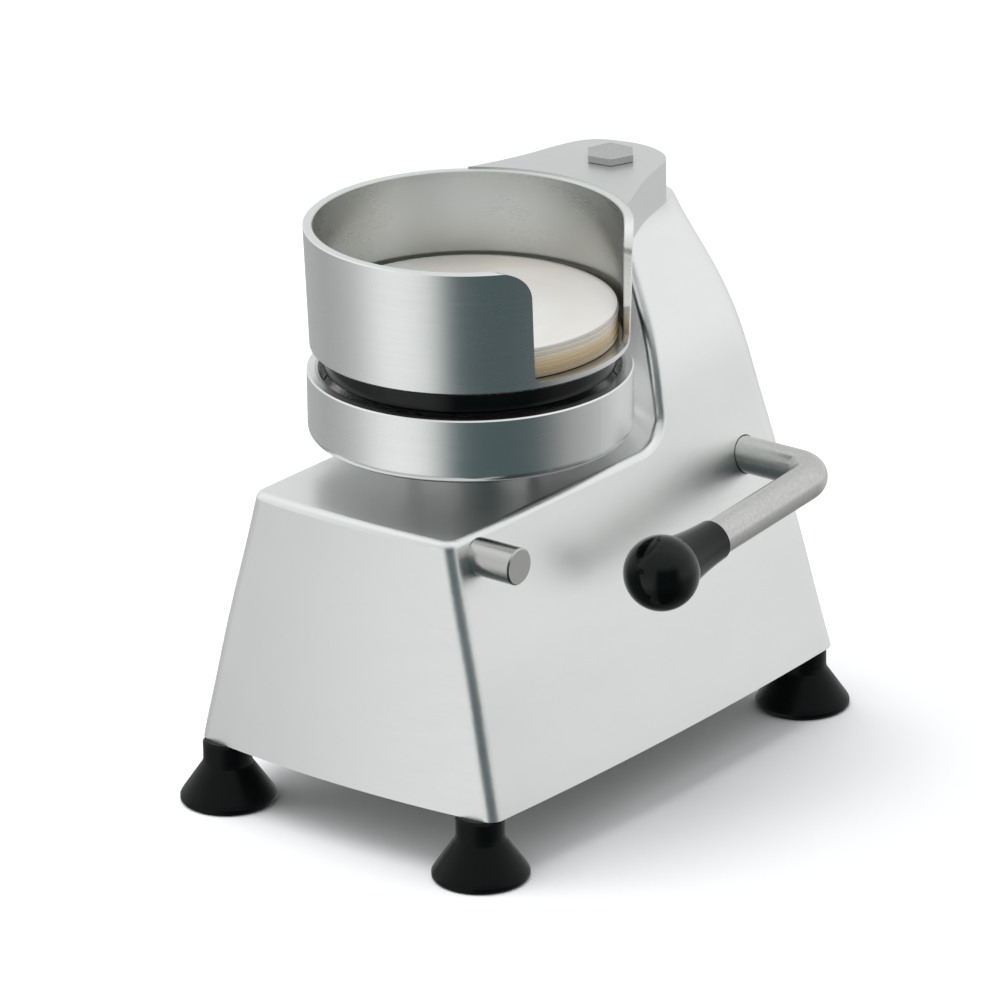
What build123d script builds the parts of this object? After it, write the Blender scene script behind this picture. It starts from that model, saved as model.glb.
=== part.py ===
from build123d import *
import math
import os

# Manual patty press: a hollow cast base on four rubber feet carries a round mould.
# A column slides in the back of the casting and carries a swinging arm with the film
# holder and the black press disc. The lever turns a pinion that lifts the column, and a
# rocker beam inside the casting raises the ejector plate in the mould at the same time.
# Everything is drawn about the mould's axis, in millimetres, +Z up, lever on the +X side,
# and save() moves it so that the origin is the middle of the footprint on the floor.

# ---- driving dimensions -------------------------------------------------------------
patty_radius = 65.0
patty_thickness = 10.5

foot_x = 70.7
foot_front_y = -87.0
foot_rear_y = 150.0
foot_radius = 21.4
foot_neck_radius = 10.8
foot_height = 28.5
foot_screw_radius = 1.95

wall = 5.0
saddle_z = 148.0
casting_top_z = 240.0
column_front_radius = 84.0
# half widths of the casting at equal steps of height, from its bottom edge to its top
side_half_widths = [82.2, 77.6, 73.0, 68.2, 62.8, 57.6, 52.8, 47.8, 40.0, 28.6, 20.3]
# the rear face at the same heights, bowed like a shark's fin
rear_positions = [161.0, 158.8, 157.0, 155.1, 153.3, 151.4, 148.6, 146.0, 143.2, 139.4, 132.7]
side_step = (casting_top_z - foot_height) / (len(side_half_widths) - 1)
hollow_levels = 8
rim_rounding = 3.5
front_bottom_y = -92.0
front_slope = 0.062
front_bow = 6.0
side_bow = 4.0
front_corner_radius = 6.5
rear_corner_radius = 9.0
rear_corner_growth = 0.043

boss_depth = 14.0
hub_radius = 12.0
mould_outer_radius = 71.3
mould_bottom_z = 164.0
mould_rim_z = 193.2
mould_floor_z = 176.4
pedestal_radius = 28.0
mould_screw_circle = 20.5
screw_radius = 2.45
screw_hole_radius = 2.5
screw_clearance_radius = 2.7

column_y = 102.0
column_radius = 12.5
column_bottom_z = 36.0
column_shoulder_z = 239.7
spigot_radius = 8.0
running_gap = 0.04
upper_bush_radius = 14.5
upper_bush_bottom_z = 200.0
lower_bush_radius = 15.0
lower_bush_bottom_z = 64.0
lower_bush_top_z = 84.0

ring_bottom_z = 204.0
ring_top_z = 259.2
ring_outer_top = 71.6
ring_outer_bottom = 69.8
ring_inner_radius = 67.4
ring_floor_z = 207.3
cutout_half_width = 35.0
cutout_taper = 1.8
cutout_round = 14.0
disc_radius = 64.0
disc_bottom_z = 193.6

arm_bottom_z = 240.6
arm_top_z = 259.8
arm_rear_y = 125.8
arm_bush_radius = 9.3

lever_y = 122.0
lever_z = 127.0
lever_radius = 8.25
lever_inner_radius = 7.0
lever_out_x = 100.0
lever_bend_radius = 12.0
lever_end_along = 96.0
lever_pin_radius = 2.0
right_bush_radius = 10.5
left_bush_radius = 9.5
ball_centre = (lever_out_x, 4.6, 117.3)
ball_radius = 16.7

module = 1.5
pinion_teeth = 16
pinion_pitch_radius = module * pinion_teeth / 2
pinion_half_width = 10.0

rocker_pivot_y = -70.0
rocker_pivot_z = 112.0
rocker_reach = 167.0
rocker_half_thickness = 3.0
rocker_eye_radius = 9.5
rocker_bush_radius = 6.0
pivot_pin_radius = 4.0
drive_pin_radius = 3.0
lever_travel = math.radians(120)
column_lift = pinion_pitch_radius * lever_travel
rocker_half_swing = math.asin(column_lift / 2 / rocker_reach)
rocker_tip_z = rocker_pivot_z - column_lift / 2

ejector_bottom_z = mould_floor_z + 0.3
ejector_top_z = mould_rim_z - patty_thickness
ejector_stem_radius = 9.0
ejector_pin_z = rocker_pivot_z + rocker_pivot_y * math.tan(rocker_half_swing)

pin_y = -66.5
pin_z = 137.8
pin_radius = 8.25
pin_tip_x = 78.0

# The footprint's middle: feet give three sides, and the lever's ball the fourth.
footprint_middle_x = (lever_out_x + ball_radius - foot_x - foot_radius) / 2
footprint_middle_y = (foot_rear_y + foot_front_y) / 2


# ---- helpers ------------------------------------------------------------------------
def save(name, solid):
    placed = solid.moved(Location((-footprint_middle_x, -footprint_middle_y, 0)))
    export_step(placed, "parts/" + name + ".step")


def upright(x, y, low, high, radius):
    """A vertical cylinder between two heights."""
    return Pos(x, y, (low + high) / 2) * Cylinder(radius, high - low)


def tube(x, y, low, high, outer, inner):
    return upright(x, y, low, high, outer) - upright(x, y, low - 1, high + 1, inner)


def crosswise(y, z, low, high, radius):
    """A cylinder along X between two values of x."""
    return Pos((low + high) / 2, y, z) * Rot(0, 90, 0) * Cylinder(radius, high - low)


def brick(x_range, y_range, z_range):
    sizes = [high - low for low, high in (x_range, y_range, z_range)]
    middle = [(high + low) / 2 for low, high in (x_range, y_range, z_range)]
    return Pos(*middle) * Box(*sizes)


def turned(points, x=0.0, y=0.0, angle=360.0):
    """A solid of revolution about a vertical axis from a closed (radius, height) outline."""
    outline = Polyline(*[(r, 0, z) for r, z in points], close=True)
    return Pos(x, y, 0) * revolve(make_face(outline), Axis.Z, angle)


def hexagon_prism(x, y, low, high, corner, turn=0.0):
    sketch = Plane.XY.offset(low) * Pos(x, y) * RegularPolygon(corner, 6, rotation=turn)
    return extrude(sketch, high - low)


# ---- casting ------------------------------------------------------------------------
def plan_section(level, inset):
    """One level of the casting: four shallow arcs with rounded corners."""
    height = level * side_step
    z = foot_height + height
    x = side_half_widths[level] - inset
    front = front_bottom_y + front_slope * height + inset
    rear = rear_positions[level] - inset
    fade = max(0.1, (saddle_z - z) / (saddle_z - foot_height))
    bow = side_bow * fade
    middle = (front + rear) / 2
    front_middle = front - front_bow * (0.4 + 0.6 * fade)
    front_arc = ThreePointArc((-x, front), (0, front_middle), (x, front))
    right_arc = ThreePointArc((x, front), (x + bow, middle), (x, rear))
    rear_arc = ThreePointArc((x, rear), (0, rear + 1.0), (-x, rear))
    left_arc = ThreePointArc((-x, rear), (-x - bow, middle), (-x, front))
    face = make_face([front_arc, right_arc, rear_arc, left_arc])
    corners = face.vertices().sort_by(Axis.Y)
    face = fillet(corners[:2], front_corner_radius - 0.6 * inset)
    corners = face.vertices().sort_by(Axis.Y)
    rear_radius = rear_corner_radius + rear_corner_growth * height
    face = fillet(corners[-2:], rear_radius - 0.6 * inset)
    return Plane.XY.offset(z) * face


def casting_form(inset, levels, floor_z):
    """The casting's outline, or its hollow when inset by the wall thickness."""
    body = loft([plan_section(level, inset) for level in range(levels)])
    front_radius = column_front_radius + inset
    blend_radius = 11.0
    outline = [
        Line((0, floor_z), (front_radius - blend_radius, floor_z)),
        RadiusArc(
            (front_radius - blend_radius, floor_z),
            (front_radius, floor_z + blend_radius),
            -blend_radius,
        ),
        Line((front_radius, floor_z + blend_radius), (front_radius, 300)),
        Line((front_radius, 300), (0, 300)),
        Line((0, 300), (0, floor_z)),
    ]
    scoop = revolve(Plane.XZ * make_face(outline), Axis.Z)
    nose = brick((-120, 120), (-160, 40), (floor_z, 300))
    return body - scoop - nose


def saddle_rim(form):
    """The outer edges of the saddle and of the column's hollowed front."""
    rim = []
    for edge in form.edges():
        bounds = edge.bounding_box()
        level = bounds.max.Z - bounds.min.Z < 0.01
        above = bounds.min.Z > saddle_z - 0.1
        if not above or edge.geom_type == GeomType.CIRCLE:
            continue
        if not level or bounds.max.Z < saddle_z + 0.1:
            rim.append(edge)
    return rim


def casting():
    outer = casting_form(0.0, len(side_half_widths), saddle_z)
    outer = fillet(saddle_rim(outer), rim_rounding)
    hollow = casting_form(wall, hollow_levels, saddle_z - wall - 1)
    shell = outer - hollow
    # cast-in bosses and webs, trimmed to the outside shape
    inside = upright(0, column_y, 60, 84, 20)
    inside += brick((-90, 90), (column_y - 5, column_y + 5), (62, 82))
    inside += brick((-5, 5), (column_y, 170), (62, 82))
    inside += crosswise(lever_y, lever_z, 44, 70, 14)
    inside += crosswise(lever_y, lever_z, -70, -44, 14)
    inside += upright(0, 0, saddle_z - boss_depth, saddle_z - 2, pedestal_radius)
    inside += crosswise(pin_y, pin_z - 4, 44, 70, 12)
    for side in (-1, 1):
        lug_y = (-110, rocker_pivot_y + 8)
        inside += brick((side * 9 - 4, side * 9 + 4), lug_y, (102, 122))
        for y in (foot_front_y, foot_rear_y):
            inside += upright(side * foot_x, y, foot_height, 52, 11)
    shell += inside & outer
    # bores
    shell -= upright(0, column_y, 50, 250, column_radius + 0.5)
    shell -= upright(0, column_y, upper_bush_bottom_z, 250, upper_bush_radius)
    shell -= upright(0, column_y, lower_bush_bottom_z, lower_bush_top_z + 0.5, lower_bush_radius)
    shell -= crosswise(lever_y, lever_z, 40, 80, lever_radius + 0.35)
    shell -= crosswise(lever_y, lever_z, 40, 56, right_bush_radius)
    shell -= crosswise(lever_y, lever_z, -54.2, -40, left_bush_radius)
    shell -= upright(0, 0, 120, 150, hub_radius)
    shell -= crosswise(pin_y, pin_z, 40, 62, 5.0)
    shell -= crosswise(rocker_pivot_y, rocker_pivot_z, -16, 16, pivot_pin_radius)
    for x, y in mould_screw_places():
        shell -= upright(x, y, 120, 150, screw_clearance_radius)
    for side in (-1, 1):
        for y in (foot_front_y, foot_rear_y):
            shell -= upright(side * foot_x, y, 20, 38, foot_screw_radius + 0.05)
    # the left shoulder is relieved so that the head can swing to that side
    clear_of_ring = 29.6
    clear_of_disc = 37.3
    shoulder_z = ring_bottom_z - 0.6
    floor_z = disc_bottom_z - 0.6
    round_radius = clear_of_disc - clear_of_ring
    outline = [
        RadiusArc(
            (clear_of_ring, shoulder_z),
            (clear_of_disc, shoulder_z - round_radius),
            -round_radius,
        ),
        Polyline(
            (clear_of_disc, shoulder_z - round_radius),
            (clear_of_disc, floor_z),
            (90, floor_z),
            (90, 260),
            (clear_of_ring, 260),
            (clear_of_ring, shoulder_z),
        ),
    ]
    relief = Pos(0, column_y) * revolve(Plane.XZ * make_face(outline), Axis.Z)
    shell -= relief & brick((-100, 0), (0, 200), (180, 270))
    return shell


# ---- feet and fixings ---------------------------------------------------------------
def foot(x, y):
    hole = foot_screw_radius + 0.15
    outline = [
        (hole, 7.0),
        (5.2, 7.0),
        (5.2, 0.0),
        (foot_radius - 0.8, 0.0),
        (foot_radius, 1.0),
        (foot_radius, 2.6),
        (foot_radius - 0.9, 4.2),
        (foot_neck_radius + 0.5, 17.6),
        (foot_neck_radius, 19.4),
        (foot_neck_radius, foot_height - 1.2),
        (foot_neck_radius - 1.2, foot_height),
        (hole, foot_height),
    ]
    return turned(outline, x, y)


def foot_screw(x, y):
    head = upright(x, y, 4.0, 7.0, 4.6)
    socket = hexagon_prism(x, y, 3.0, 5.5, 2.3)
    return head + upright(x, y, 6.9, 37.0, foot_screw_radius) - socket


# ---- mould --------------------------------------------------------------------------
def mould_bowl():
    edge = 4.0
    outline = [
        Line((hub_radius, mould_bottom_z), (mould_outer_radius - edge, mould_bottom_z)),
        RadiusArc(
            (mould_outer_radius - edge, mould_bottom_z),
            (mould_outer_radius, mould_bottom_z + edge),
            -edge,
        ),
        Polyline(
            (mould_outer_radius, mould_bottom_z + edge),
            (mould_outer_radius, mould_rim_z - 0.6),
            (mould_outer_radius - 0.6, mould_rim_z),
            (patty_radius + 1.4, mould_rim_z),
            (patty_radius, mould_rim_z - 1.4),
            (patty_radius, mould_floor_z),
            (hub_radius, mould_floor_z),
            (hub_radius, mould_bottom_z),
        ),
    ]
    bowl = revolve(Plane.XZ * make_face(outline), Axis.Z)
    for x, y in mould_screw_places():
        bowl -= upright(x, y, 160, 173, screw_hole_radius)
    return bowl


def mould_screw_places():
    angles = [math.radians(a) for a in range(45, 360, 90)]
    return [(mould_screw_circle * math.cos(a), mould_screw_circle * math.sin(a)) for a in angles]


def mould_pedestal():
    pedestal = tube(0, 0, saddle_z, mould_bottom_z, pedestal_radius, hub_radius)
    for x, y in mould_screw_places():
        pedestal -= upright(x, y, 140, 170, screw_clearance_radius)
    return pedestal


def mould_screws():
    underside = saddle_z - boss_depth
    screws = []
    for x, y in mould_screw_places():
        screw = upright(x, y, underside - 4, underside, 4.2)
        screw += upright(x, y, underside - 0.1, 172, screw_radius)
        screws.append(screw - hexagon_prism(x, y, underside - 5, underside - 2, 2.2))
    return Compound(screws)


def stop_pin():
    side_x = 57.0
    pin = crosswise(pin_y, pin_z, side_x - 1.5, pin_tip_x, pin_radius)
    pin = chamfer(pin.edges().filter_by(GeomType.CIRCLE).sort_by(Axis.X)[-1], 0.7)
    pin -= casting_form(0.0, len(side_half_widths), saddle_z)
    return pin + crosswise(pin_y, pin_z, 46, side_x + 3, 4.9)


# ---- column, arm and head -----------------------------------------------------------
def rack_gap(z):
    """The space between two rack teeth, centred on a height."""
    half = (math.pi * module / 2 + 0.12) / 2
    slope = math.tan(math.radians(20))
    pitch_y = lever_y - pinion_pitch_radius
    root_y = pitch_y - 1.25 * module
    out_y = pitch_y + 3
    root_half = half - slope * (pitch_y - root_y)
    out_half = half + slope * (out_y - pitch_y)
    outline = Polyline(
        (0, root_y, z - root_half),
        (0, out_y, z - out_half),
        (0, out_y, z + out_half),
        (0, root_y, z + root_half),
        close=True,
    )
    return extrude(make_face(outline), 20, dir=(1, 0, 0), both=True)


def column_rod():
    rod = upright(0, column_y, column_bottom_z, column_shoulder_z, column_radius)
    rod = chamfer(rod.edges().filter_by(GeomType.CIRCLE).sort_by(Axis.Z)[0], 1.0)
    rod += upright(0, column_y, column_shoulder_z - 1, 260.0, spigot_radius)
    rod -= upright(0, column_y, 218, 262, 5.0)
    flat_y = lever_y - pinion_pitch_radius + 1.2
    rod -= brick((-20, 20), (flat_y, 130), (92, 140))
    pitch = math.pi * module
    for step in range(-7, 3):
        rod -= rack_gap(lever_z + step * pitch)
    # slot and cross hole for the rocker's end
    slot = (rocker_tip_z - 8.2, rocker_tip_z + 8.2)
    rod -= brick((-3.3, 3.3), (80, column_y + 0.6), slot)
    rod -= crosswise(rocker_pivot_y + rocker_reach, rocker_tip_z, -20, 20, drive_pin_radius)
    return rod


def rocker_drive_pin():
    return crosswise(rocker_pivot_y + rocker_reach, rocker_tip_z, -11.0, 11.0, drive_pin_radius)


def pivot_bolt():
    corner = 11.4
    facing = -51.8
    shoulder_z = 263.0
    tip_z = 267.2
    head = hexagon_prism(0, column_y, 260.0, shoulder_z, corner, facing)
    base = Plane.XY.offset(shoulder_z) * Pos(0, column_y)
    base = base * RegularPolygon(corner, 6, rotation=facing)
    tip = Plane.XY.offset(tip_z) * Pos(0, column_y) * RegularPolygon(0.15, 6, rotation=facing)
    head += loft([base.face(), tip.face()], ruled=True)
    return head + upright(0, column_y, 222, 260.1, 4.95)


def ring_outside():
    return turned(
        [
            (0, ring_bottom_z),
            (ring_outer_bottom - 1.0, ring_bottom_z),
            (ring_outer_bottom, ring_bottom_z + 1.0),
            (ring_outer_top, ring_top_z - 0.5),
            (ring_outer_top - 0.5, ring_top_z),
            (0, ring_top_z),
        ]
    )


def film_ring():
    ring = ring_outside()
    ring -= turned(
        [
            (0, ring_floor_z),
            (ring_inner_radius - 1.0, ring_floor_z),
            (ring_inner_radius, ring_floor_z + 1.0),
            (ring_inner_radius, ring_top_z - 0.5),
            (ring_inner_radius + 0.5, ring_top_z + 0.1),
            (0, ring_top_z + 0.1),
        ]
    )
    # thumb cut-out on the lever side, flared at the top with rounded corners
    low = ring_floor_z
    flare_z = ring_top_z - cutout_round
    half = cutout_half_width
    low_half = half - cutout_taper
    outline = [
        Polyline(
            (half, flare_z),
            (low_half, low + 2.5),
            (low_half - 2.5, low),
            (-low_half + 2.5, low),
            (-low_half, low + 2.5),
            (-half, flare_z),
        ),
        RadiusArc((-half, flare_z), (-half - cutout_round, ring_top_z), -cutout_round),
        Polyline(
            (-half - cutout_round, ring_top_z),
            (-half - cutout_round, 270),
            (half + cutout_round, 270),
            (half + cutout_round, ring_top_z),
        ),
        RadiusArc((half + cutout_round, ring_top_z), (half, flare_z), -cutout_round),
    ]
    window = extrude(Plane.YZ * make_face(outline), 90)
    ring -= window & brick((30, 90), (-60, 60), (low, 280))
    for x, y in disc_screw_places():
        ring -= upright(x, y, 200, 210, 2.6)
        ring -= turned([(0, 204.7), (2.6, 204.7), (5.2, 207.31), (0, 207.31)], x, y)
    return ring


def disc_screw_places():
    angles = [math.radians(a) for a in (90, 210, 330)]
    return [(40 * math.cos(a), 40 * math.sin(a)) for a in angles]


def disc_screws():
    screws = []
    for x, y in disc_screw_places():
        head = [(0, 204.7), (2.5, 204.7), (4.9, 207.1), (0, 207.1)]
        screws.append(turned(head, x, y) + upright(x, y, 197, 204.8, screw_radius))
    return Compound(screws)


def press_disc():
    disc = turned(
        [
            (0, disc_bottom_z),
            (disc_radius - 1.2, disc_bottom_z),
            (disc_radius, disc_bottom_z + 1.2),
            (disc_radius, ring_bottom_z),
            (0, ring_bottom_z),
        ]
    )
    for x, y in disc_screw_places():
        disc -= upright(x, y, 196.5, 205, screw_hole_radius)
    return disc


def swing_arm():
    right = Spline((44.0, 56), (36.4, 73), (30.6, 86), (26.2, 99.5), (23.6, 109))
    right_heel = Spline((23.6, 109), (19.2, 117.4), (11, 123.2))
    tail = ThreePointArc((11, 123.2), (0, arm_rear_y), (-11, 124.2))
    left_heel = Spline((-11, 124.2), (-22.4, 119.2), (-28.0, 110.5))
    left = Spline((-28.0, 110.5), (-30.6, 101), (-33.4, 87), (-37.4, 73), (-44.0, 56))
    inner = Line((-44.0, 56), (44.0, 56))
    outline = make_face([right, right_heel, tail, left_heel, left, inner])
    arm = extrude(Plane.XY.offset(arm_bottom_z) * outline, arm_top_z - arm_bottom_z)
    arm -= ring_outside()
    arm -= upright(0, 0, 250, 262, ring_outer_top - 0.5)
    arm -= upright(0, column_y, 230, 262, arm_bush_radius)
    return arm


def arm_screws():
    screws = []
    for side in (-1, 1):
        tilt = math.radians(90 - side * 22)
        out = (math.cos(tilt), math.sin(tilt), 0)
        start = Vector(out[0] * 68.5, out[1] * 68.5, 250)
        line = Plane(origin=start, z_dir=out)
        screws.append(line * Pos(0, 0, 7) * Cylinder(2.0, 14))
    return screws


# ---- lever --------------------------------------------------------------------------
def lever_direction():
    bend = Vector(lever_out_x, lever_y, lever_z)
    return (Vector(*ball_centre) - bend).normalized()


def lever_rod():
    bend = Vector(lever_out_x, lever_y, lever_z)
    end = bend + lever_direction() * lever_end_along
    start = (20, lever_y, lever_z)
    path = FilletPolyline(start, bend, end, radius=lever_bend_radius)
    circle = Plane(origin=start, z_dir=(1, 0, 0)) * Circle(lever_radius)
    rod = sweep(circle, path=path)
    rod += crosswise(lever_y, lever_z, -54, 20.5, lever_inner_radius)
    rod -= Pos(0, lever_y, lever_z) * Cylinder(lever_pin_radius, 40)
    return rod


def lever_grip():
    """Tapered black grip with a ball at its end, turned about the lever's own axis."""
    reach = (Vector(*ball_centre) - Vector(lever_out_x, lever_y, lever_z)).length
    start = reach - 37.5
    neck = 12.2
    neck_along = reach - math.sqrt(ball_radius**2 - neck**2)
    tip = (0, reach + ball_radius)
    outline = [
        Line((lever_radius, start), (9.4, start)),
        Spline((9.4, start), (9.9, start + 9), (neck, neck_along)),
        ThreePointArc((neck, neck_along), (ball_radius, reach), tip),
        Line(tip, (0, lever_end_along)),
        Line((0, lever_end_along), (lever_radius, lever_end_along)),
        Line((lever_radius, lever_end_along), (lever_radius, start)),
    ]
    shape = revolve(Plane.XZ * make_face(outline), Axis.Z)
    bend = Vector(lever_out_x, lever_y, lever_z)
    return Plane(origin=bend, x_dir=(1, 0, 0), z_dir=lever_direction()) * shape


def pinion():
    """Involute spur pinion with one tooth facing the rack."""
    base = pinion_pitch_radius * math.cos(math.radians(20))
    tip = pinion_pitch_radius + module
    root = pinion_pitch_radius - 1.25 * module
    half_tooth = (math.pi * module / 2 - 0.12) / 2 / pinion_pitch_radius
    involute = math.tan(math.radians(20)) - math.radians(20)

    def flank(radius):
        roll = math.acos(min(1.0, base / radius))
        return half_tooth + involute - (math.tan(roll) - roll)

    def at(radius, angle):
        return (radius * math.cos(angle), radius * math.sin(angle))

    radii = [base + (tip - base) * step / 4 for step in range(5)]
    tooth = [at(root - 1, -flank(base))]
    tooth += [at(r, -flank(r)) for r in radii]
    tooth += [at(r, flank(r)) for r in reversed(radii)]
    tooth += [at(root - 1, flank(base))]
    blank = Circle(root)
    for number in range(pinion_teeth):
        turn = 360 * number / pinion_teeth
        blank += Rot(0, 0, turn) * make_face(Polyline(*tooth, close=True))
    blank -= Circle(lever_inner_radius)
    gear = extrude(blank, pinion_half_width, both=True)
    place = Plane(origin=(0, lever_y, lever_z), x_dir=(0, -1, 0), z_dir=(1, 0, 0))
    return place * gear - Pos(0, lever_y, lever_z) * Cylinder(lever_pin_radius, 40)


def pinion_pin():
    return Pos(0, lever_y, lever_z) * Cylinder(lever_pin_radius - 0.02, 19.6)


# ---- rocker and ejector -------------------------------------------------------------
def slot_face(along, length, height):
    return Pos(along, 0) * SlotOverall(length, height)


def rocker_beam():
    eye = rocker_eye_radius
    reach = rocker_reach / math.cos(rocker_half_swing)
    halfway = -rocker_pivot_y / math.cos(rocker_half_swing)
    upper = [(0, eye), (halfway, 8), (reach, 6)]
    lower = [(along, -height) for along, height in reversed(upper)]
    face = make_face(Polyline(*upper, *lower, close=True))
    face += Circle(eye) + Pos(reach, 0) * SlotOverall(9, 8.8)
    face -= Circle(rocker_bush_radius)
    face -= slot_face(halfway, 11.0, 8.6)
    face -= slot_face(reach, 7.4, 6.4)
    beam = extrude(face, rocker_half_thickness, both=True)
    pivot = (0, rocker_pivot_y, rocker_pivot_z)
    along = (0, math.cos(rocker_half_swing), -math.sin(rocker_half_swing))
    return Plane(origin=pivot, x_dir=along, z_dir=(1, 0, 0)) * beam


def rocker_pivot_pin():
    return crosswise(rocker_pivot_y, rocker_pivot_z, -15.5, 15.5, pivot_pin_radius - 0.03)


def pin_clips():
    clips = []
    for side in (-1, 1):
        low, high = sorted((side * 13.2, side * 14.4))
        clip = crosswise(rocker_pivot_y, rocker_pivot_z, low, high, 6.5)
        pin = crosswise(rocker_pivot_y, rocker_pivot_z, low, high, pivot_pin_radius - 0.03)
        clips.append(clip - pin)
    return Compound(clips)


def ejector_stem():
    stem = upright(0, 0, 95, ejector_bottom_z, ejector_stem_radius)
    stem -= brick((-3.4, 3.4), (-12, 12), (90, 119))
    stem -= crosswise(0, ejector_pin_z, -12, 12, pivot_pin_radius)
    stem -= upright(0, 0, 160, 180, screw_hole_radius)
    return stem


def ejector_plate():
    plate = turned(
        [
            (0, ejector_bottom_z),
            (patty_radius - 1.0, ejector_bottom_z),
            (patty_radius - 0.35, ejector_bottom_z + 0.8),
            (patty_radius - 0.35, ejector_top_z),
            (0, ejector_top_z),
        ]
    )
    plate -= upright(0, 0, 170, 190, 2.6)
    cone = [(0, ejector_top_z - 3), (2.6, ejector_top_z - 3), (5.6, ejector_top_z + 0.01)]
    return plate - turned([*cone, (0, ejector_top_z + 0.01)])


def ejector_screw():
    top = ejector_top_z - 0.2
    head = [(0, top - 2.8), (2.5, top - 2.8), (5.2, top), (0, top)]
    screw = turned(head) + upright(0, 0, 162, top - 2.7, screw_radius)
    return screw - hexagon_prism(0, 0, top - 1.5, top + 1, 1.8)


def circlip(x, outer, inner):
    clip = crosswise(lever_y, lever_z, x, x + 1.2, outer)
    return clip - crosswise(lever_y, lever_z, x - 1, x + 3, inner)


# ---- write every piece --------------------------------------------------------------
os.makedirs("parts", exist_ok=True)

save("body_casting", casting())

foot_places = {
    "foot_front_left": (-foot_x, foot_front_y),
    "foot_front_right": (foot_x, foot_front_y),
    "foot_rear_left": (-foot_x, foot_rear_y),
    "foot_rear_right": (foot_x, foot_rear_y),
}
for name, (x, y) in foot_places.items():
    save(name, foot(x, y))
save("foot_screws", Compound([foot_screw(x, y) for x, y in foot_places.values()]))

save("mould_pedestal", mould_pedestal())
save("mould_bowl", mould_bowl())
save("mould_screws", mould_screws())
ejector_bore_radius = ejector_stem_radius + running_gap
save("ejector_bush", tube(0, 0, 134, mould_floor_z, hub_radius, ejector_bore_radius))
save("stop_pin", stop_pin())
column_bore_radius = column_radius + running_gap
upper_bush = (upper_bush_bottom_z, casting_top_z, upper_bush_radius)
save("column_bush_upper", tube(0, column_y, *upper_bush, column_bore_radius))
lower_bush = (lower_bush_bottom_z, lower_bush_top_z, lower_bush_radius)
save("column_bush_lower", tube(0, column_y, *lower_bush, column_bore_radius))
right_bush = crosswise(lever_y, lever_z, 44, 56, right_bush_radius)
right_bush -= crosswise(lever_y, lever_z, 40, 60, lever_radius + running_gap)
save("lever_bush_right", right_bush)
left_bush = crosswise(lever_y, lever_z, -54.2, -44, left_bush_radius)
left_bush -= crosswise(lever_y, lever_z, -60, -40, lever_inner_radius + running_gap)
save("lever_bush_left", left_bush)
save("rocker_pivot_pin", rocker_pivot_pin())
save("pin_clips", pin_clips())

save("column_rod", column_rod())
save("thrust_washer", tube(0, column_y, column_shoulder_z, 240.45, 12.3, spigot_radius))
save("pivot_bolt", pivot_bolt())
save("rocker_drive_pin", rocker_drive_pin())

arm = swing_arm()
ring = film_ring()
screws = arm_screws()
for screw in screws:
    arm -= screw
    ring -= screw
save("swing_arm", arm)
save("film_ring", ring)
save("arm_dowels", Compound(screws))
arm_bore_radius = spigot_radius + running_gap
save("arm_bush", tube(0, column_y, arm_bottom_z, arm_top_z, arm_bush_radius, arm_bore_radius))
save("press_disc", press_disc())
save("disc_screws", disc_screws())
save("film_stack", upright(0, 0, ring_floor_z + 0.3, 221.6, patty_radius))

save("lever_rod", lever_rod())
save("lever_grip", lever_grip())
save("pinion", pinion())
save("pinion_pin", pinion_pin())
save("lever_clip", circlip(-43.4, 9.5, lever_inner_radius))

save("rocker_beam", rocker_beam())
rocker_bore_radius = pivot_pin_radius + running_gap
rocker_bush = crosswise(rocker_pivot_y, rocker_pivot_z, -4.5, 4.5, rocker_bush_radius)
rocker_bush -= crosswise(rocker_pivot_y, rocker_pivot_z, -10, 10, rocker_bore_radius)
save("rocker_bush", rocker_bush)

save("ejector_stem", ejector_stem())
save("ejector_plate", ejector_plate())
save("ejector_screw", ejector_screw())
save("ejector_pin", crosswise(0, ejector_pin_z, -8.0, 8.0, pivot_pin_radius))
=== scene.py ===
import math
import random
import bmesh
import bpy
from mathutils import Matrix, Vector


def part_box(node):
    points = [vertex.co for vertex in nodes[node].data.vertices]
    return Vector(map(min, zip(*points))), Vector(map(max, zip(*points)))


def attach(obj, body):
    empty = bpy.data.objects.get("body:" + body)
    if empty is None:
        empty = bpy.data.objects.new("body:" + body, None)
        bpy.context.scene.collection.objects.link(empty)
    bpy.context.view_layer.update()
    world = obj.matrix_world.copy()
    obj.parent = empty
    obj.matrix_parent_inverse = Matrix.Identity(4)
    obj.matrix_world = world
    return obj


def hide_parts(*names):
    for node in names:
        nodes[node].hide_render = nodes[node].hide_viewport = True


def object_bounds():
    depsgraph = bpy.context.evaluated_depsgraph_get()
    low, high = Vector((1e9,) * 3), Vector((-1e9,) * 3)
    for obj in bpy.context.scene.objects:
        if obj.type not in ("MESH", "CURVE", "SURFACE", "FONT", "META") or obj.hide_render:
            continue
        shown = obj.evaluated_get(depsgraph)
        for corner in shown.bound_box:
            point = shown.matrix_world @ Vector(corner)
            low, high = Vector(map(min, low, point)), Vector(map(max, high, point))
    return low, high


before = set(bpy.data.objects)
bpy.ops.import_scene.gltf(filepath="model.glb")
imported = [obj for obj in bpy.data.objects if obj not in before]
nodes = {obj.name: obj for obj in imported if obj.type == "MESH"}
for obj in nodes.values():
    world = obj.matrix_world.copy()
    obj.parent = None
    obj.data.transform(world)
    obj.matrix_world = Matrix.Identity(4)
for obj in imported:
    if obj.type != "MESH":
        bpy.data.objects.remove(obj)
cad_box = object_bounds()
random.seed(7)

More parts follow.
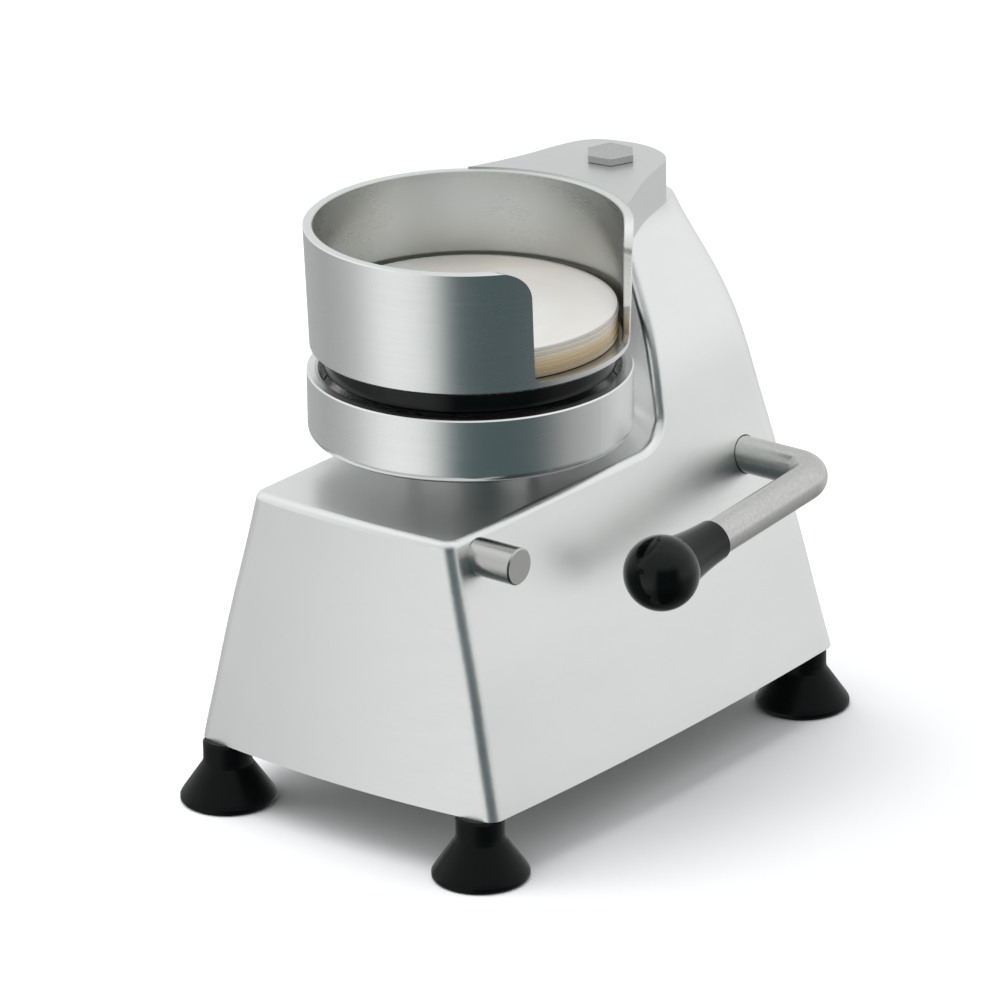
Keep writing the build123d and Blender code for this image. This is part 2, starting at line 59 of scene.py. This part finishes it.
# The mould's axis at floor level: the camera, lights and turned finishes are placed about it.
bowl_low, bowl_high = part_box("mould_bowl")
AXIS = Vector(((bowl_low.x + bowl_high.x) / 2, (bowl_low.y + bowl_high.y) / 2, 0.0))
column_low, column_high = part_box("column_bush_upper")
COLUMN = Vector(((column_low.x + column_high.x) / 2, (column_low.y + column_high.y) / 2, 0.0))
pin_low, pin_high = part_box("stop_pin")
PIN = Vector((0.0, (pin_low.y + pin_high.y) / 2, (pin_low.z + pin_high.z) / 2))


# ---- camera -------------------------------------------------------------------------
CAMERA_AZIMUTH = math.radians(38.19)
CAMERA_ELEVATION = math.radians(21.18)
CAMERA_ROLL = math.radians(-0.78)
CAMERA_DISTANCE = 3.132
CAMERA_LENS = 259.3
AIM_HEIGHT = 0.2
# where the aim point stands in the view, as tangents from the middle: left and up
AIM_LEFT = 0.00417
AIM_UP = 0.02093


def make_camera():
    data = bpy.data.cameras.new("camera")
    data.lens = CAMERA_LENS
    data.sensor_width = 36.0
    data.clip_end = 50.0
    camera = bpy.data.objects.new("camera", data)
    bpy.context.scene.collection.objects.link(camera)
    a, e, roll = CAMERA_AZIMUTH, CAMERA_ELEVATION, CAMERA_ROLL
    forward = Vector((-math.sin(a) * math.cos(e), math.cos(a) * math.cos(e), -math.sin(e)))
    level_right = Vector((math.cos(a), math.sin(a), 0))
    level_up = level_right.cross(forward)
    right = math.cos(roll) * level_right + math.sin(roll) * level_up
    up = math.cos(roll) * level_up - math.sin(roll) * level_right
    sight = forward - AIM_LEFT * right + AIM_UP * up
    place = AXIS + Vector((0, 0, AIM_HEIGHT)) - sight * CAMERA_DISTANCE
    turn = Matrix((right, up, -forward)).transposed()
    camera.matrix_world = Matrix.Translation(place) @ turn.to_4x4()
    bpy.context.scene.camera = camera


# ---- studio -------------------------------------------------------------------------
# Brightness of the studio round the horizon: degrees from the camera, positive to its right,
# against light level. Wide soft boxes stand to the left and right.
HORIZON = [
    (-180, 0.50), (-147, 0.44), (-122, 0.38), (-104, 0.42), (-90, 0.50), (-77, 0.70),
    (-64, 0.92), (-50, 0.94), (-34, 0.88), (-22, 0.62), (40, 0.10), (58, 0.18),
    (74, 0.34), (92, 0.42), (110, 0.56), (128, 0.70), (150, 0.66), (180, 0.50),
]
# a dark flag hangs beside the camera: its reach in degrees round and its upper edge
FLAG_ROUND = [(-26, 0.0), (-9, 1.0), (38, 1.0), (66, 0.0)]
FLAG_COLOUR = (0.075, 0.105, 0.110)
FLAG_TOP = (16, 44)
# the soft boxes above the horizon, by degrees from the camera
UPPER = [
    (-180, 0.95), (-130, 1.06), (-100, 1.16), (-80, 1.04), (-62, 0.84), (-30, 0.84),
    (40, 0.90), (80, 1.06), (104, 1.16), (130, 1.06), (180, 0.95),
]
# light level from the horizon at 0 to straight up at 1
OVERHEAD = [(0.0, 0.86), (0.3, 0.78), (0.7, 0.84), (1.0, 0.95)]
# how dark the studio gets below, from straight down at 0 to straight up at 1
BELOW = [(0.0, 0.25), (0.14, 0.35), (0.30, 1.0), (1.0, 1.0)]
# degrees above the horizon between which the low studio gives way to the overhead one
HORIZON_FADE = (-22, 8)
STUDIO_TINT = (0.985, 1.0, 1.0)
TOP_BOX_WATTS = 26
LEFT_BOX_WATTS = 9
FLOOR_SIZE = 6.0
FLOOR_GAP = 0.0002


def new_node(tree, kind, **values):
    node = tree.nodes.new(kind)
    for name, value in values.items():
        setattr(node, name, value)
    return node


def math_node(tree, operation, first, second=None, clamp=False):
    node = new_node(tree, "ShaderNodeMath", operation=operation, use_clamp=clamp)
    for socket, value in zip(node.inputs, (first, second)):
        if isinstance(value, (int, float)):
            socket.default_value = value
        elif value is not None:
            tree.links.new(value, socket)
    return node.outputs[0]


def ramp(tree, factor, stops, mode="LINEAR"):
    node = new_node(tree, "ShaderNodeValToRGB")
    node.color_ramp.interpolation = mode
    elements = node.color_ramp.elements
    while len(elements) < len(stops):
        elements.new(0.5)
    for element, (place, value) in zip(elements, stops):
        element.position = place
        colour = value if hasattr(value, "__len__") else (value, value, value)
        element.color = (*colour, 1.0)
    tree.links.new(factor, node.inputs[0])
    return node.outputs[0]


def round_ramp(tree, share, stops):
    """A ramp round the horizon, from stops given in degrees."""
    places = [((angle + 180) / 360, level) for angle, level in stops]
    return ramp(tree, share, places, "EASE")


def make_world():
    world = bpy.data.worlds.new("studio")
    bpy.context.scene.world = world
    world.use_nodes = True
    tree = world.node_tree
    tree.nodes.clear()
    direction = new_node(tree, "ShaderNodeTexCoord").outputs["Generated"]
    split = new_node(tree, "ShaderNodeSeparateXYZ")
    tree.links.new(direction, split.inputs[0])
    azimuth = math_node(tree, "ARCTAN2", split.outputs[1], split.outputs[0])
    camera_side = math.pi / 2 - CAMERA_AZIMUTH
    shifted = math_node(tree, "ADD", azimuth, camera_side + math.pi)
    turns = math_node(tree, "DIVIDE", shifted, 2 * math.pi)
    share = math_node(tree, "FRACT", turns)
    round_horizon = round_ramp(tree, share, HORIZON)
    flag_round = round_ramp(tree, share, FLAG_ROUND)
    height = new_node(tree, "ShaderNodeMapRange", interpolation_type="SMOOTHSTEP")
    tree.links.new(split.outputs[2], height.inputs[0])
    for socket, angle in zip(height.inputs[1:3], HORIZON_FADE):
        socket.default_value = math.sin(math.radians(angle))
    overhead = ramp(tree, split.outputs[2], OVERHEAD)
    mix = new_node(tree, "ShaderNodeMix", data_type="RGBA")
    tree.links.new(height.outputs[0], mix.inputs[0])
    tree.links.new(round_horizon, mix.inputs[6])
    # some of these levels are above 1, so they go in halved and are doubled after the ramp
    halved = [(angle, level / 2) for angle, level in UPPER]
    doubled = math_node(tree, "MULTIPLY", round_ramp(tree, share, halved), 2.0)
    tree.links.new(math_node(tree, "MULTIPLY", overhead, doubled), mix.inputs[7])
    flag_height = new_node(tree, "ShaderNodeMapRange", interpolation_type="SMOOTHSTEP")
    tree.links.new(split.outputs[2], flag_height.inputs[0])
    for socket, angle in zip(flag_height.inputs[1:3], FLAG_TOP):
        socket.default_value = math.sin(math.radians(angle))
    flag_height.inputs[3].default_value = 1.0
    flag_height.inputs[4].default_value = 0.0
    flag = new_node(tree, "ShaderNodeMix", data_type="RGBA")
    tree.links.new(math_node(tree, "MULTIPLY", flag_round, flag_height.outputs[0]), flag.inputs[0])
    tree.links.new(mix.outputs[2], flag.inputs[6])
    flag.inputs[7].default_value = (*FLAG_COLOUR, 1.0)
    tint = new_node(tree, "ShaderNodeMix", data_type="RGBA", blend_type="MULTIPLY")
    tint.inputs[0].default_value = 1.0
    tint.inputs[7].default_value = (*STUDIO_TINT, 1.0)
    tree.links.new(flag.outputs[2], tint.inputs[6])
    lowness = math_node(tree, "ADD", math_node(tree, "MULTIPLY", split.outputs[2], 0.5), 0.5)
    below = ramp(tree, lowness, BELOW)
    background = new_node(tree, "ShaderNodeBackground")
    tree.links.new(tint.outputs[2], background.inputs[0])
    tree.links.new(below, background.inputs[1])
    output = new_node(tree, "ShaderNodeOutputWorld")
    tree.links.new(background.outputs[0], output.inputs[0])


def area_light(name, place, target, size, watts):
    data = bpy.data.lights.new(name, "AREA")
    data.shape = "RECTANGLE"
    data.size, data.size_y = size
    data.energy = watts
    lamp = bpy.data.objects.new(name, data)
    bpy.context.scene.collection.objects.link(lamp)
    lamp.location = place
    lamp.rotation_euler = (Vector(target) - Vector(place)).to_track_quat("-Z", "Y").to_euler()
    # the metals mirror the world's soft boxes, not these lamps
    lamp.visible_glossy = False


def make_floor():
    bm = bmesh.new()
    bmesh.ops.create_grid(bm, x_segments=8, y_segments=8, size=FLOOR_SIZE)
    mesh = bpy.data.meshes.new("floor")
    bm.to_mesh(mesh)
    floor = bpy.data.objects.new("floor", mesh)
    bpy.context.scene.collection.objects.link(floor)
    floor.location = (0, 0, cad_box[0].z - FLOOR_GAP)
    floor.visible_glossy = False
    material, tree, shader = new_material("floor_white")
    shader.inputs["Base Color"].default_value = (0.93, 0.93, 0.94, 1)
    shader.inputs["Roughness"].default_value = 0.9
    shader.inputs["Specular IOR Level"].default_value = 0.1
    floor.data.materials.append(material)


# ---- material helpers ---------------------------------------------------------------
def new_material(name):
    material = bpy.data.materials.new(name)
    material.use_nodes = True
    tree = material.node_tree
    return material, tree, tree.nodes["Principled BSDF"]


def place_in_metres(tree):
    return new_node(tree, "ShaderNodeTexCoord").outputs["Object"]


def stretched(tree, vector, scale):
    node = new_node(tree, "ShaderNodeMapping")
    node.inputs["Scale"].default_value = scale
    tree.links.new(vector, node.inputs["Vector"])
    return node.outputs[0]


def noise(tree, vector, scale, detail=4.0, roughness=0.55):
    node = new_node(tree, "ShaderNodeTexNoise")
    node.inputs["Scale"].default_value = scale
    node.inputs["Detail"].default_value = detail
    node.inputs["Roughness"].default_value = roughness
    tree.links.new(vector, node.inputs["Vector"])
    return node.outputs[0]


def spread(tree, factor, low, high, from_low=0.3, from_high=0.7):
    node = new_node(tree, "ShaderNodeMapRange")
    tree.links.new(factor, node.inputs[0])
    for socket, value in zip(node.inputs[1:5], (from_low, from_high, low, high)):
        socket.default_value = value
    return node.outputs[0]


def bump(tree, height, strength, distance, below=None):
    node = new_node(tree, "ShaderNodeBump")
    node.inputs["Strength"].default_value = strength
    node.inputs["Distance"].default_value = distance
    tree.links.new(height, node.inputs["Height"])
    if below is not None:
        tree.links.new(below, node.inputs["Normal"])
    return node.outputs[0]


def tinted(tree, factor, dark, light):
    node = new_node(tree, "ShaderNodeMix", data_type="RGBA")
    tree.links.new(factor, node.inputs[0])
    node.inputs[6].default_value = (*dark, 1)
    node.inputs[7].default_value = (*light, 1)
    return node.outputs[2]


def polar(tree, centre, direction):
    """Distance from an axis, place along it and angle round it, for turned finishes."""
    offset = new_node(tree, "ShaderNodeVectorMath", operation="SUBTRACT")
    tree.links.new(place_in_metres(tree), offset.inputs[0])
    offset.inputs[1].default_value = centre
    split = new_node(tree, "ShaderNodeSeparateXYZ")
    tree.links.new(offset.outputs[0], split.inputs[0])
    x, y, z = split.outputs
    across = {"X": (y, z, x), "Y": (x, z, y), "Z": (x, y, z)}[direction]
    squares = [math_node(tree, "MULTIPLY", part, part) for part in across[:2]]
    radius = math_node(tree, "SQRT", math_node(tree, "ADD", *squares))
    angle = math_node(tree, "ARCTAN2", across[1], across[0])
    around = new_node(tree, "ShaderNodeVectorMath", operation="CROSS_PRODUCT")
    around.inputs[0].default_value = {"X": (1, 0, 0), "Y": (0, 1, 0), "Z": (0, 0, 1)}[direction]
    tree.links.new(offset.outputs[0], around.inputs[1])
    return radius, across[2], angle, around.outputs[0]


def turned_metal(name, centre, direction, colour, rough, lines=0.025, spin=0.35, fine=5200, painted_shade_bore=None):
    """Metal turned on a lathe: fine rings round the axis, with soft variation."""
    material, tree, shader = new_material(name)
    radius, along, angle, around = polar(tree, centre, direction)
    join = new_node(tree, "ShaderNodeCombineXYZ")
    tree.links.new(radius, join.inputs[0])
    tree.links.new(along, join.inputs[1])
    tree.links.new(math_node(tree, "MULTIPLY", angle, 0.0008), join.inputs[2])
    rings = noise(tree, join.outputs[0], fine, 3.0, 0.6)
    broad = noise(tree, join.outputs[0], fine / 14, 2.0)
    cloud = noise(tree, place_in_metres(tree), 22, 3.0)
    dark = tuple(c * 0.96 for c in colour)
    tone = tinted(tree, spread(tree, rings, 0.0, 1.0), dark, colour)
    if painted_shade_bore is not None:
        # painted shade: the inside of the bore gets a darker base colour than the outside, standing in for
        # the shade and dim reflections inside the ring
        shade = new_node(tree, "ShaderNodeMix", data_type="RGBA", blend_type="MULTIPLY")
        tree.links.new(spread(tree, radius, 1.0, 0.0, painted_shade_bore, painted_shade_bore + 0.0004), shade.inputs[0])
        tree.links.new(tone, shade.inputs[6])
        shade.inputs[7].default_value = (0.74, 0.75, 0.75, 1.0)
        tone = shade.outputs[2]
    tree.links.new(tone, shader.inputs["Base Color"])
    rough_lines = spread(tree, broad, rough - 0.012, rough + 0.014)
    rough_cloud = spread(tree, cloud, -0.02, 0.025)
    tree.links.new(math_node(tree, "ADD", rough_lines, rough_cloud), shader.inputs["Roughness"])
    shader.inputs["Metallic"].default_value = 1.0
    shader.inputs["Anisotropic"].default_value = spin
    tree.links.new(around, shader.inputs["Tangent"])
    tree.links.new(bump(tree, rings, lines, 0.00004), shader.inputs["Normal"])
    return material


def cast_metal(name, colour, rough, pits):
    """Linished and polished casting: cloudy sheen, faint waves and a few fine pits."""
    material, tree, shader = new_material(name)
    where = place_in_metres(tree)
    cloud = noise(tree, where, 9, 3.0)
    fine = noise(tree, where, 1500, 3.0)
    waves = noise(tree, where, 26, 2.0)
    brushed = noise(tree, stretched(tree, where, (60, 60, 900)), 1.0, 4.0)
    cells = new_node(tree, "ShaderNodeTexVoronoi", feature="F1")
    cells.inputs["Scale"].default_value = 330
    tree.links.new(where, cells.inputs["Vector"])
    dots = spread(tree, cells.outputs["Distance"], 1.0, 0.0, 0.05, 0.16)
    patches = spread(tree, noise(tree, where, 34, 3.0), 0.0, 1.0, 0.56, 0.66)
    speckle = math_node(tree, "MULTIPLY", dots, patches, clamp=True)
    dark = tuple(c * 0.94 for c in colour)
    tree.links.new(tinted(tree, spread(tree, cloud, 0.0, 1.0), dark, colour), shader.inputs["Base Color"])
    base_rough = spread(tree, cloud, rough - 0.04, rough + 0.05)
    line_rough = spread(tree, brushed, -0.03, 0.03)
    tree.links.new(math_node(tree, "ADD", base_rough, line_rough), shader.inputs["Roughness"])
    shader.inputs["Metallic"].default_value = 1.0
    under = bump(tree, waves, 0.12, 0.0006)
    under = bump(tree, fine, 0.10, 0.00004, under)
    under = bump(tree, brushed, 0.10, 0.00003, under)
    inverse = math_node(tree, "SUBTRACT", 1.0, speckle)
    tree.links.new(bump(tree, inverse, pits, 0.00012, under), shader.inputs["Normal"])
    return material


def plain_metal(name, colour, rough, scale=(900, 900, 900), relief=0.15):
    material, tree, shader = new_material(name)
    grain = noise(tree, stretched(tree, place_in_metres(tree), scale), 1.0, 4.0)
    cloud = noise(tree, place_in_metres(tree), 60, 2.0)
    dark = tuple(c * 0.88 for c in colour)
    tree.links.new(tinted(tree, spread(tree, grain, 0.0, 1.0), dark, colour), shader.inputs["Base Color"])
    tree.links.new(spread(tree, cloud, rough - 0.05, rough + 0.07), shader.inputs["Roughness"])
    shader.inputs["Metallic"].default_value = 1.0
    tree.links.new(bump(tree, grain, relief, 0.00005), shader.inputs["Normal"])
    return material


def black_rubber():
    material, tree, shader = new_material("foot_rubber")
    where = place_in_metres(tree)
    grain = noise(tree, where, 2200, 3.0)
    cloud = noise(tree, where, 70, 3.0)
    tone = tinted(tree, cloud, (0.0015, 0.0022, 0.0022), (0.003, 0.0045, 0.0045))
    tree.links.new(tone, shader.inputs["Base Color"])
    tree.links.new(spread(tree, cloud, 0.30, 0.42), shader.inputs["Roughness"])
    shader.inputs["Specular IOR Level"].default_value = 0.13
    tree.links.new(bump(tree, grain, 0.16, 0.00004), shader.inputs["Normal"])
    return material


def black_gloss(name, rough, shine):
    material, tree, shader = new_material(name)
    where = place_in_metres(tree)
    cloud = noise(tree, where, 90, 3.0)
    peel = noise(tree, where, 420, 2.0)
    tone = tinted(tree, cloud, (0.0012, 0.0014, 0.0014), (0.0025, 0.003, 0.003))
    tree.links.new(tone, shader.inputs["Base Color"])
    tree.links.new(spread(tree, cloud, rough, rough + 0.06), shader.inputs["Roughness"])
    shader.inputs["Specular IOR Level"].default_value = shine
    tree.links.new(bump(tree, peel, 0.05, 0.00008), shader.inputs["Normal"])
    return material


# ---- film discs ---------------------------------------------------------------------
def film_material(low, high):
    material, tree, shader = new_material("film_discs")
    where = place_in_metres(tree)
    split = new_node(tree, "ShaderNodeSeparateXYZ")
    tree.links.new(where, split.inputs[0])
    level = spread(tree, split.outputs[2], 0.0, 1.0, low, high)
    layers = noise(tree, stretched(tree, where, (6, 6, 2600)), 1.0, 3.0)
    shifted = math_node(tree, "ADD", level, spread(tree, layers, -0.06, 0.06))
    edge = ramp(
        tree,
        shifted,
        [
            (0.0, (0.44, 0.34, 0.20)),
            (0.25, (0.58, 0.44, 0.24)),
            (0.50, (0.70, 0.55, 0.33)),
            (0.68, (0.74, 0.67, 0.55)),
            (0.88, (0.70, 0.67, 0.63)),
            (1.0, (0.68, 0.67, 0.66)),
        ],
    )
    streak = tinted(tree, spread(tree, layers, 0.0, 1.0, 0.35, 0.6), (0.72, 0.66, 0.55), (1.0, 1.0, 1.0))
    multiply = new_node(tree, "ShaderNodeMix", data_type="RGBA", blend_type="MULTIPLY")
    multiply.inputs[0].default_value = 0.55
    tree.links.new(edge, multiply.inputs[6])
    tree.links.new(streak, multiply.inputs[7])
    tree.links.new(multiply.outputs[2], shader.inputs["Base Color"])
    ripple = noise(tree, where, 26, 3.0)
    tree.links.new(spread(tree, ripple, 0.16, 0.26), shader.inputs["Roughness"])
    shader.inputs["Specular IOR Level"].default_value = 0.85
    shader.inputs["Coat Weight"].default_value = 0.6
    shader.inputs["Coat Roughness"].default_value = 0.16
    under = bump(tree, ripple, 0.18, 0.0008)
    tree.links.new(bump(tree, layers, 0.12, 0.0001, under), shader.inputs["Normal"])
    return material


def film_discs():
    """The stack as one turned form with a ridge for each bundle of sheets, slightly uneven."""
    low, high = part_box("film_stack")
    centre = Vector(((low.x + high.x) / 2, (low.y + high.y) / 2, 0))
    full = (high.x - low.x) / 2
    bundles = 22
    pitch = (high.z - low.z - 0.0004) / bundles
    around = 192
    rings = []
    for bundle in range(bundles):
        bottom = low.z + bundle * pitch
        lean = random.uniform(0, 2 * math.pi)
        shift = random.uniform(0.0, 0.00035)
        size = full - random.uniform(0.0003, 0.0006)
        for height, inset in ((0.06, 0.00022), (0.25, 0.0), (0.75, 0.0), (0.94, 0.00022)):
            rings.append((bottom + height * pitch, size - inset, lean, shift))
    bm = bmesh.new()
    loops = []
    for z, size, lean, shift in rings:
        offset = centre + Vector((shift * math.cos(lean), shift * math.sin(lean), z))
        loop = []
        for step in range(around):
            angle = 2 * math.pi * step / around
            loop.append(bm.verts.new(offset + Vector((size * math.cos(angle), size * math.sin(angle), 0))))
        loops.append(loop)
    # the top sheet is slightly domed and wavy, in rings that close at its middle
    top_z = high.z - 0.0003
    for share in (0.985, 0.95, 0.85, 0.7, 0.5, 0.3, 0.12):
        loop = []
        for step in range(around):
            angle = 2 * math.pi * step / around
            wave = 0.00006 * math.sin(3 * angle + 9 * share) * share
            point = Vector((full * share * math.cos(angle), full * share * math.sin(angle), top_z + wave))
            loop.append(bm.verts.new(centre + point))
        loops.append(loop)
    for lower, upper in zip(loops, loops[1:]):
        for step in range(around):
            after = (step + 1) % around
            bm.faces.new((lower[step], lower[after], upper[after], upper[step]))
    bm.faces.new(loops[-1])
    bm.faces.new(list(reversed(loops[0])))
    mesh = bpy.data.meshes.new("film_discs")
    bm.normal_update()
    bm.to_mesh(mesh)
    stack = bpy.data.objects.new("film_discs", mesh)
    bpy.context.scene.collection.objects.link(stack)
    for polygon in mesh.polygons:
        polygon.use_smooth = len(polygon.vertices) == 4
    mesh.materials.append(film_material(low.z, high.z))
    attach(stack, "film_discs")
    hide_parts("film_stack")


# ---- dress the CAD pieces -----------------------------------------------------------
def dress(material, *names):
    for name in names:
        mesh = nodes[name].data
        mesh.materials.clear()
        mesh.materials.append(material)


def dress_all():
    bright = (0.90, 0.915, 0.905)
    dress(cast_metal("casting_aluminium", (0.93, 0.94, 0.93), 0.34, 0.45), "body_casting")
    # the ring and bowl carry painted shade inside their bore
    dress(turned_metal("ring_aluminium", AXIS, "Z", bright, 0.26, painted_shade_bore=0.0676), "film_ring", "mould_bowl")
    # painted shade: the pedestal under the mould is given a darker aluminium colour than the ring,
    # standing in for the shadow beneath the mould
    dress(turned_metal("pedestal_aluminium_painted_shade", AXIS, "Z", (0.6, 0.6, 0.6), 0.34), "mould_pedestal")
    dress(cast_metal("arm_aluminium", (0.78, 0.79, 0.785), 0.36, 0.15), "swing_arm")
    dress(turned_metal("pin_steel", PIN, "X", (0.58, 0.575, 0.56), 0.20, 0.04, 0.3), "stop_pin")
    dress(plain_metal("lever_steel", (0.64, 0.635, 0.62), 0.20, (700, 700, 700), 0.06), "lever_rod")
    dress(plain_metal("bolt_steel", (0.55, 0.55, 0.55), 0.28), "pivot_bolt")
    dress(black_rubber(), "foot_front_left", "foot_front_right", "foot_rear_left", "foot_rear_right")
    dress(black_gloss("grip_phenolic", 0.07, 0.28), "lever_grip")
    dress(black_gloss("disc_gloss", 0.10, 0.30), "press_disc")
    column_steel = turned_metal("column_steel", COLUMN, "Z", (0.70, 0.69, 0.68), 0.22)
    dress(column_steel, "column_rod", "thrust_washer")
    plate_steel = turned_metal("plate_steel", AXIS, "Z", (0.68, 0.68, 0.67), 0.25)
    dress(plate_steel, "ejector_plate", "ejector_stem")
    dress(plain_metal("rocker_steel", (0.5, 0.5, 0.5), 0.36, (300, 60, 900)), "rocker_beam")
    dress(
        plain_metal("pin_bright", (0.62, 0.62, 0.61), 0.25),
        "rocker_pivot_pin", "rocker_drive_pin", "ejector_pin", "pinion", "pinion_pin",
    )
    dress(
        plain_metal("fastener_zinc", (0.56, 0.56, 0.55), 0.32),
        "foot_screws", "mould_screws", "arm_dowels", "disc_screws", "ejector_screw",
        "lever_clip", "pin_clips",
    )
    dress(
        plain_metal("bush_bronze", (0.60, 0.40, 0.20), 0.33),
        "ejector_bush", "column_bush_upper", "column_bush_lower", "lever_bush_right", "lever_bush_left",
        "arm_bush", "rocker_bush",
    )


make_camera()
make_world()
make_floor()
middle = AXIS + Vector((0, 0.03, 0.12))
area_light("top_box", middle + Vector((-0.5, -0.2, 1.9)), middle, (1.8, 1.8), TOP_BOX_WATTS)
area_light("left_box", middle + Vector((-1.7, -1.0, 1.1)), middle, (1.2, 1.4), LEFT_BOX_WATTS)
dress_all()
# the black ball would print a dark patch on the casting that soft studio light hides
nodes["lever_grip"].visible_glossy = False
film_discs()
bpy.context.scene.view_settings.view_transform = "Standard"
